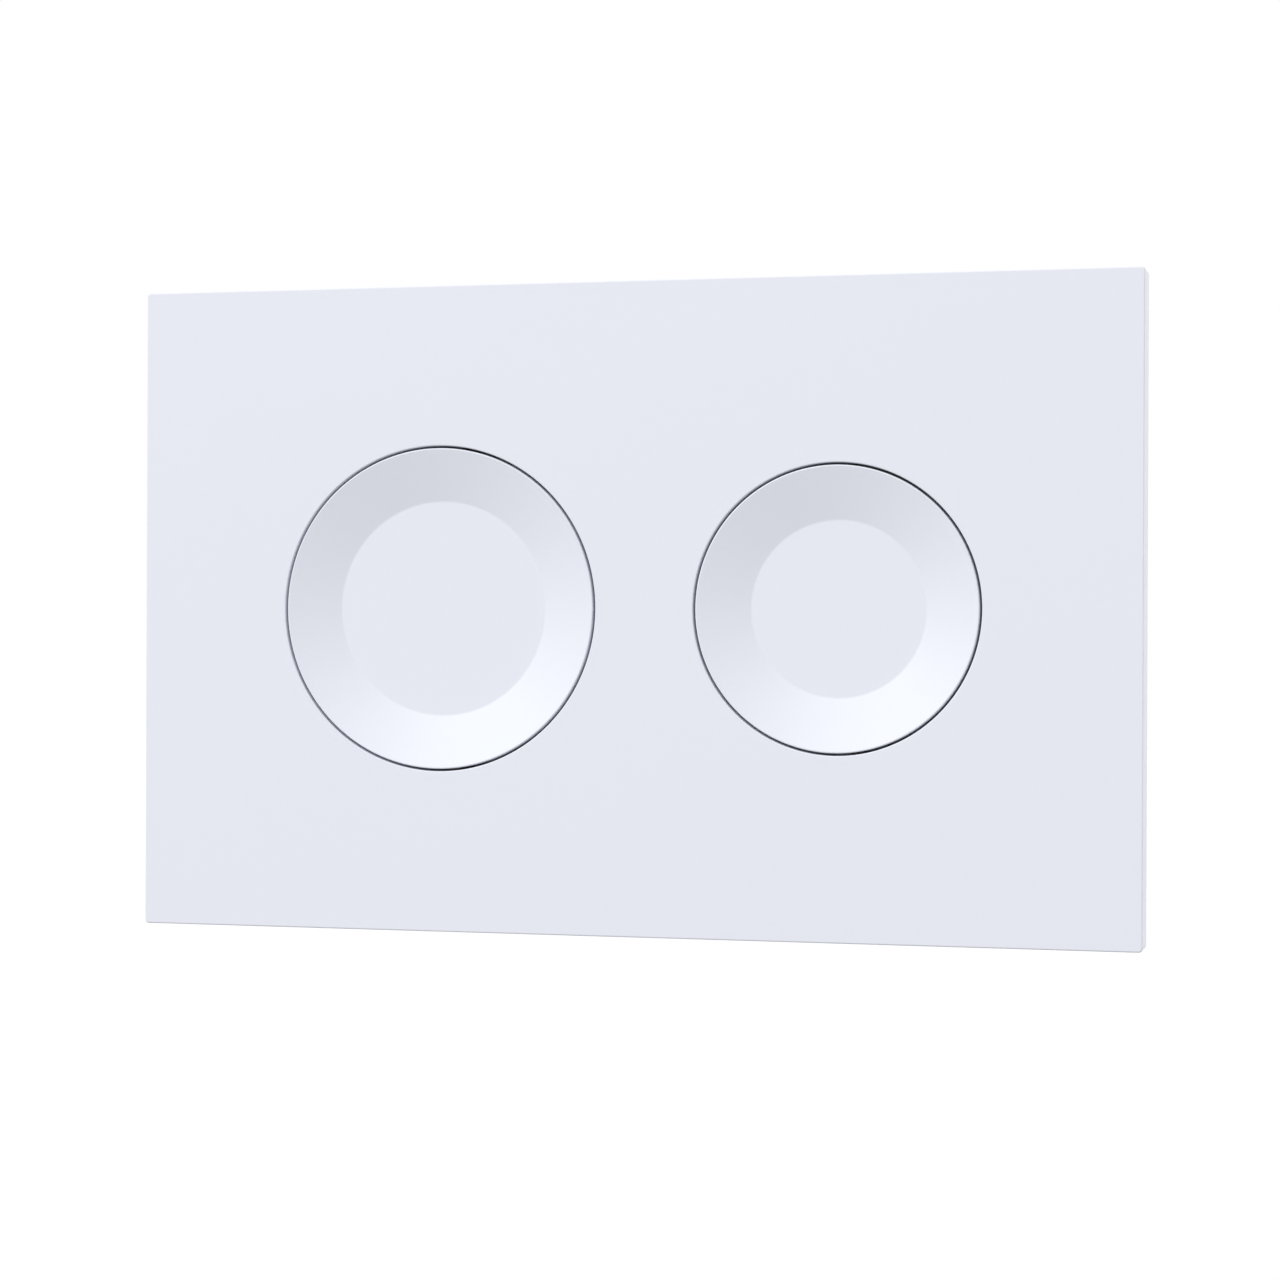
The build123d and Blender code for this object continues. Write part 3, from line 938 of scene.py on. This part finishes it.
@dataclass
class FrontPanel:
    """Moulded cover with two openings, and collars, ribs, bosses and hooks behind its face.

    Attributes:
        buttons: Buttons whose openings it has.
        fitter: Fits the piece.
        wall: Thickness of the face.
        rim: Thickness of the outer wall.
        corner: Radius of the corners seen from the front.
        edge: Radius of the front edge.
        lip: Radius of the openings' edges.
        seat: Height of the outer wall's back edge, which lies on the wall.
        root: Depth that ribs and bosses stand in the face.
        collar: Thickness of the collars round the openings.
        stiffener: Height of collars and ribs behind the face.
        rib: Thickness of the ribs.
        rib_columns: Number of upright ribs.
        rib_rows: Number of level ribs.
        boss: Side of a screw boss.
        boss_end: Height of the bosses' ends.
        pilot: Radius of a boss's pilot hole.
        pilot_depth: Depth of a pilot hole.
        hook_x: Distance of the hooks from the middle.
        hook: Hooks that hold it to the mounting frame.
    """

    buttons: Sequence[PushButton]
    fitter: Fitter
    wall: float = 2.4
    rim: float = 2.2
    corner: float = 0.9
    edge: float = 0.4
    lip: float = 0.3
    seat: float = 0.0
    root: float = 0.2
    collar: float = 1.6
    stiffener: float = 2.6
    rib: float = 1.2
    rib_columns: int = 4
    rib_rows: int = 2
    boss: float = 7.0
    boss_end: float = 1.5
    pilot: float = 1.5
    pilot_depth: float = 5.5
    hook_x: float = 72.0
    hook: Hook = Hook(width=12.0, wall=1.8, root=0.6, gap=0.5, play=0.3, reach=1.3, lip=0.6, nose=3.0)

    def __post_init__(self) -> None:
        """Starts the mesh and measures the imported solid."""
        self.work = Workpiece()
        self.extent = Extent.of("front_panel")
        self.under = self.extent.front - self.wall
        self.inner_x = self.extent.width / 2 - self.rim
        self.inner_z = self.extent.height / 2 - self.rim

    def build(self) -> None:
        """Makes the panel as one piece."""
        self._shell()
        self._ribs()
        self._bosses()
        self._hooks()
        self.fitter.fit(self.work, "panel_moulded", "plate", Slot.PANEL, "front_panel")

    def _shell(self) -> None:
        """Adds the face with its rounded edges, the outer wall and the collars."""
        work, bm = self.work, self.work.bm
        front, back = self.extent.front, self.seat
        end, bevel = self.under - self.stiffener, 0.2
        corners = work.sheet(self.extent.width, self.extent.height, back)
        work.bevel(corners, self.corner, segments=6, affect="VERTICES")
        work.lift(list(bm.faces), (0, back - front, 0))
        work.bevel([edge for edge in bm.edges if is_level(edge, front)], self.edge, segments=6)
        flats = [face for face in bm.faces if is_level(face, front) or is_level(face, back)]
        bmesh.ops.delete(bm, geom=flats, context="FACES_ONLY")
        for button in self.buttons:
            radius, outer = button.opening, button.opening + self.collar
            profile = [
                *arc(radius + self.lip, front - self.lip, self.lip, math.pi / 2, math.pi),
                (radius, end + bevel), (radius + bevel, end),
                (outer - bevel, end), (outer, end + bevel), (outer, self.under),
            ]
            collar = Workpiece(button.x)
            collar.revolve(profile)
            work.absorb(collar)
        work.fill(front)
        inner = work.sheet(2 * self.inner_x, 2 * self.inner_z, self.under)
        bmesh.ops.delete(bm, geom=list(inner[0].link_faces), context="FACES_ONLY")
        work.sink(work.wires(self.under), back)
        work.fill(self.under)
        work.fill(back)

    @staticmethod
    def _clear(reach: float, blocks: Sequence[Span]) -> list[Span]:
        """What separate blocks leave of a line that reaches as far to both sides of the middle."""
        ends = sorted([-reach, *(end for block in blocks for end in block), reach])
        return list(zip(ends[::2], ends[1::2]))

    def _ribs(self) -> None:
        """Adds crossed ribs that stop at the collars."""
        h, half = (self.under - self.stiffener, self.under + self.root), self.rib / 2
        rings = [(button.x, button.opening + self.collar / 2) for button in self.buttons]
        for column in range(self.rib_columns):
            x = self.inner_x * (2 * (column + 1) / (self.rib_columns + 1) - 1)
            chords = [math.sqrt(r * r - (x - cx) ** 2) for cx, r in rings if abs(x - cx) < r]
            for span in self._clear(self.inner_z, [(-c, c) for c in chords]):
                self.work.block((x - half, x + half), h, span)
        for row in range(self.rib_rows):
            z = self.inner_z * (2 * (row + 1) / (self.rib_rows + 1) - 1)
            chords = [(cx, math.sqrt(r * r - z * z)) for cx, r in rings]
            for span in self._clear(self.inner_x, [(cx - c, cx + c) for cx, c in chords]):
                self.work.block(span, h, (z - half, z + half))

    def _bosses(self) -> None:
        """Adds the screw bosses with their pilot holes."""
        half, end = self.boss / 2, self.boss_end
        root, floor = self.under + self.root, end + self.pilot_depth
        for x, z in screw_places():
            boss = Workpiece(x, z)
            corners = ((-half, -half), (half, -half), (half, half), (-half, half))
            boss.chain([Vector((x + dx, -end, z + dz)) for dx, dz in corners], closed=True)
            boss.sink(boss.open_edges(end), root)
            boss.fill(root)
            boss.ring(self.pilot, end, segments=32)
            hole = boss.wires(end)
            boss.fill(end)
            boss.sink(hole, floor)
            boss.fill(floor)
            self.work.absorb(boss)

    def _hooks(self) -> None:
        """Adds the snap hooks that hold the panel on the frame."""
        side = Extent.of("button_chassis").high.z + self.hook.gap + self.hook.wall
        outline = self.hook.outline(side, 1, self.under, frame_back())
        for x in (-self.hook_x, self.hook_x):
            start = x - self.hook.width / 2
            for way in (-1.0, 1.0):
                hook = Workpiece()
                points = [Vector((start, -h, way * z)) for z, h in outline]
                hook.prism(points, Vector((self.hook.width, 0, 0)))
                hook.soften(width=0.2)
                self.work.absorb(hook)


@dataclass
class ChassisTray:
    """Tray behind the buttons, with the screws that hold it to the panel.

    Attributes:
        fitter: Fits its pieces.
        head: Height of a screw head.
        shank: Radius of a screw.
        recess: Half length of the cross recess in a head.
    """

    fitter: Fitter
    head: float = 1.8
    shank: float = 1.45
    recess: float = 1.5

    def build(self) -> None:
        """Makes the tray and its screws."""
        self.fitter.refine("button_chassis", "plate", Slot.CHASSIS, width=0.3)
        self._screws()

    def _screws(self) -> None:
        """Hexagon headed screws with a cross recess."""
        box = Extent.of("chassis_screws")
        work = Workpiece()
        end, overlap = box.back, 0.2
        seat = end + self.head
        reach = (box.front, seat - overlap)
        for x, z in screw_places():
            screw = Workpiece(x, z)
            screw.hexagon(SCREW_FLATS, (seat, end))
            screw.merge()
            faces = [face for face in screw.bm.faces if is_level(face, end)]
            bmesh.ops.delete(screw.bm, geom=faces, context="FACES")
            self._cross(screw, end)
            screw.thread(self.shank, pitch=1.1, reach=reach, steps=24)
            work.absorb(screw)
        self.fitter.fit(work, "screws_turned", "plate", Slot.ZINC, "chassis_screws")

    def _cross(self, screw: Workpiece, h: float) -> None:
        """Sinks a cross recess into the end of a screw head.

        Args:
            screw: Mesh of the screw, open at that end.
            h: Height of the end.
        """
        x, z = screw.x, screw.z
        half, depth, taper = 0.35, 1.0, 0.7
        quarter = [(self.recess, -half), (self.recess, half), (half, half)]
        points = []
        for angle in QUARTERS:
            out, up = math.cos(angle), math.sin(angle)
            points += [Vector((x + r * out - s * up, -h, z + r * up + s * out)) for r, s in quarter]
        screw.chain(points, closed=True)
        cross = screw.wires(h)
        screw.fill(h)
        low = screw.sink(cross, h + depth)
        middle = Matrix.Translation((-x, 0, -z))
        bmesh.ops.scale(screw.bm, vec=(taper, 1.0, taper), space=middle, verts=low)
        screw.fill(h + depth)


@dataclass
class WallFixing:
    """Mounting frame with its studs and hand nuts.

    Attributes:
        fitter: Fits its pieces.
        collar: Height of a stud's hexagon.
        collar_flats: Width of that hexagon across its flats.
        front_radius: Radius of a stud's front thread.
        rear_radius: Radius of its rear thread.
        grip: Number of grooves round a hand nut.
        groove: Depth of a groove.
    """

    fitter: Fitter
    collar: float = 2.0
    collar_flats: float = 10.0
    front_radius: float = 3.0
    rear_radius: float = 4.0
    grip: int = 12
    groove: float = 0.5

    def build(self) -> None:
        """Makes the frame, the studs and the nuts."""
        self.fitter.refine("mounting_frame", "plate", Slot.FRAME, width=0.3)
        for side in Side:
            self._stud(side)
            self._hand_nut(side)

    def _stud(self, side: Side) -> None:
        """Stepped stud with a thread on each side of its hexagon.

        Args:
            side: End of the frame that it is at.
        """
        node = f"fixing_stud_{side.value}"
        box = Extent.of(node)
        seat, overlap = frame_back(), 0.3
        foot = seat - self.collar
        work = Workpiece(box.x)
        work.thread(self.front_radius, pitch=1.0, reach=(box.front, seat - overlap))
        work.hexagon(self.collar_flats, reach=(seat, foot))
        work.thread(self.rear_radius, pitch=1.25, reach=(foot + overlap, box.back))
        self.fitter.fit(work, f"stud_threaded_{side.value}", "plate", Slot.STUD, node)

    def _hand_nut(self, side: Side) -> None:
        """Hand nut with a grooved grip.

        Args:
            side: End of the frame that it is at.
        """
        node = f"thumb_nut_{side.value}"
        box = Extent.of(node)
        radius = box.height / 2
        work = Workpiece(box.x)
        work.ring(radius, box.back, segments=self.grip * ARC)
        for vert in work.bm.verts:
            angle = math.atan2(vert.co.z, vert.co.x - box.x)
            reach = 1 - self.groove / radius * max(0.0, math.cos(self.grip * angle)) ** 2
            vert.co.x = box.x + (vert.co.x - box.x) * reach
            vert.co.z *= reach
        work.ring(self.front_radius + THREAD_PLAY, box.back)
        work.fill(box.back)
        work.lift(list(work.bm.faces), (0, box.back - box.front, 0))
        self.fitter.fit(work, f"hand_nut_grooved_{side.value}", "plate", Slot.NUT, node)


@dataclass(frozen=True)
class PhotoCamera:
    """Camera at the photograph's viewing angle.

    Attributes:
        azimuth: Degrees to the right of the plate's axis.
        roll: Degrees that the frame is turned.
        lens: Focal length for a sensor 36 mm wide.
        distance: Metres from the target.
        target: Point on the optical axis.
    """

    azimuth: float = 14.65
    roll: float = 0.238
    lens: float = 83.69
    distance: float = 0.7234
    target: Triple = (0.00428, -0.010, -0.00760)

    def place(self) -> None:
        """Makes the camera the scene's own."""
        a, turn = math.radians(self.azimuth), math.radians(self.roll)
        back = Vector((math.sin(a), -math.cos(a), 0.0))
        level = Vector((math.cos(a), math.sin(a), 0.0))
        upright = Vector((0.0, 0.0, 1.0))
        right = math.cos(turn) * level + math.sin(turn) * upright
        up = math.cos(turn) * upright - math.sin(turn) * level
        data = bpy.data.cameras.new("photo_camera")
        data.sensor_width = 36.0
        data.lens = self.lens
        data.clip_start = 0.01
        camera = bpy.data.objects.new("photo_camera", data)
        turned = Matrix((right, up, back)).transposed().to_4x4()
        camera.matrix_world = Matrix.Translation(Vector(self.target) + back * self.distance) @ turned
        bpy.context.scene.collection.objects.link(camera)
        bpy.context.scene.camera = camera


@dataclass(frozen=True)
class Lamp:
    """Soft distant lamp.

    Attributes:
        name: Its name.
        towards: Direction from the part to the lamp.
        level: Light on a surface that faces it, as a share of full white.
        softness: Angle in degrees that the lamp takes up.
    """

    name: str
    towards: Triple
    level: float
    softness: float

    def place(self) -> None:
        """Adds the lamp to the scene."""
        data = bpy.data.lights.new(self.name, "SUN")
        data.energy = self.level * math.pi
        data.angle = math.radians(self.softness)
        lamp = bpy.data.objects.new(self.name, data)
        lamp.rotation_mode = "QUATERNION"
        lamp.rotation_quaternion = Vector(self.towards).to_track_quat("Z", "Y")
        bpy.context.scene.collection.objects.link(lamp)


@dataclass(frozen=True)
class Studio:
    """Plain pale floor, soft light and a white background.

    Attributes:
        floor: Height of the floor in metres.
        ambient: Level of the light from all sides.
        lamps: Lamps.
    """

    floor: float = -0.25
    ambient: float = 0.80
    lamps: tuple[Lamp, ...] = (
        Lamp("key", (-0.243, -0.3925, 0.268), 0.534, 50.0),
        Lamp("side_fill", (0.85, 0.50, 0.05), 0.47, 60.0),
    )

    def build(self) -> None:
        """Sets the stage."""
        bpy.context.scene.view_settings.view_transform = "Standard"
        self._world()
        self._floor()
        for lamp in self.lamps:
            lamp.place()

    @staticmethod
    def _tone(graph: Graph, lit: float, shown: float) -> Socket:
        """Grey of the surroundings, one for the light and one for the eye.

        Args:
            graph: Graph that asks.
            lit: Grey for the light.
            shown: Grey for rays that show it straight, mirrored or through glass.

        Returns:
            The colour.
        """
        path = graph.add("ShaderNodeLightPath").outputs
        either = graph.math("MAXIMUM", path["Is Camera Ray"], path["Is Glossy Ray"])
        seen = graph.math("MAXIMUM", either, path["Is Transmission Ray"])
        return graph.blend(seen, (lit, lit, lit), (shown, shown, shown))

    def _world(self) -> None:
        """White to the eye, and a softer light on the part."""
        world = bpy.data.worlds.new("soft_box")
        graph = Graph.of(world)
        sky = {"Color": self._tone(graph, lit=self.ambient, shown=1.0), "Strength": 1.0}
        shader = graph.add("ShaderNodeBackground", sky)
        graph.add("ShaderNodeOutputWorld", {"Surface": shader.outputs[0]})
        bpy.context.scene.world = world

    def _floor(self) -> None:
        """Pale floor that keeps the part's shadow."""
        bm = bmesh.new()
        place = Matrix.Translation((0, 0, self.floor))
        bmesh.ops.create_grid(bm, x_segments=1, y_segments=1, size=6.0, matrix=place)
        mesh = bpy.data.meshes.new("floor")
        bm.to_mesh(mesh)
        bm.free()
        made = bpy.data.materials.new("floor_paper")
        graph = Graph.of(made)
        paper = self._tone(graph, lit=0.287, shown=0.93)
        shader = graph.add("ShaderNodeBsdfDiffuse", {"Color": paper})
        graph.add("ShaderNodeOutputMaterial", {"Surface": shader.outputs[0]})
        mesh.materials.append(made)
        floor = bpy.data.objects.new("floor", mesh)
        bpy.context.scene.collection.objects.link(floor)


def main() -> None:
    """Builds the pieces in order, then the stage and the camera."""
    logging.basicConfig(level=logging.INFO, format="%(name)s: %(message)s")
    fitter = Fitter()
    buttons = [PushButton(flush, fitter) for flush in Flush]
    FrontPanel(buttons, fitter).build()
    ChassisTray(fitter).build()
    WallFixing(fitter).build()
    for button in buttons:
        button.build()
    Studio().build()
    PhotoCamera().place()


if __name__ == "__main__":
    main()
